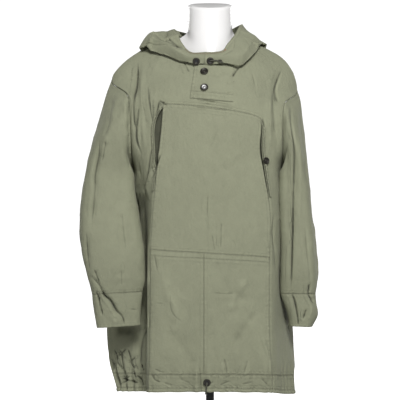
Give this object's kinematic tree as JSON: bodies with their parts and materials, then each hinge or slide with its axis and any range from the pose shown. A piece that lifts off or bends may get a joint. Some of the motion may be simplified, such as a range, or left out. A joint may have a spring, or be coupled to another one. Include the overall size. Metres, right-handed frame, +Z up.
{
  "type": "parka on dress form",
  "caption": "Loose pullover parka with a folded-back hood, bib front, slanted pockets and drawcord hem, on a limbless dress form and stand.",
  "frame": {"origin": "centre of the base plate's underside", "axes": "+Z up along the stand's pole, -Y towards the wearer's front, +X to the right as seen from the front"},
  "size_m": [0.6165, 0.356, 1.1271],
  "materials": {
    "cotton": "washed olive cotton",
    "button": "dark bronze with a bright worn dish",
    "eyelet": "dark bronze",
    "cord": "woven olive cotton",
    "form": "gloss white",
    "stand": "satin black"
  },
  "bodies": {
    "root": {"front": "cotton", "bib": "cotton", "skirt_left": "cotton", "skirt_right": "cotton", "back": "cotton", "hem_casing": "cotton", "sleeve_left": "cotton", "sleeve_right": "cotton", "cuff_left": "cotton", "cuff_right": "cotton", "hood_left": "cotton", "hood_right": "cotton", "placket": "cotton", "pocket_bag_left": "cotton", "pocket_bag_right": "cotton", "pocket_welt_left": "cotton", "pocket_welt_right": "cotton", "placket_button_1": "button", "placket_button_2": "button", "pocket_button": "button", "neck_eyelet_left": "eyelet", "neck_eyelet_right": "eyelet", "hem_eyelet": "eyelet", "hood_cord": "cord", "hem_cord": "cord", "dress_form": "form", "stand_pole": "stand", "stand_base": "stand"}
  },
  "joints": []
}
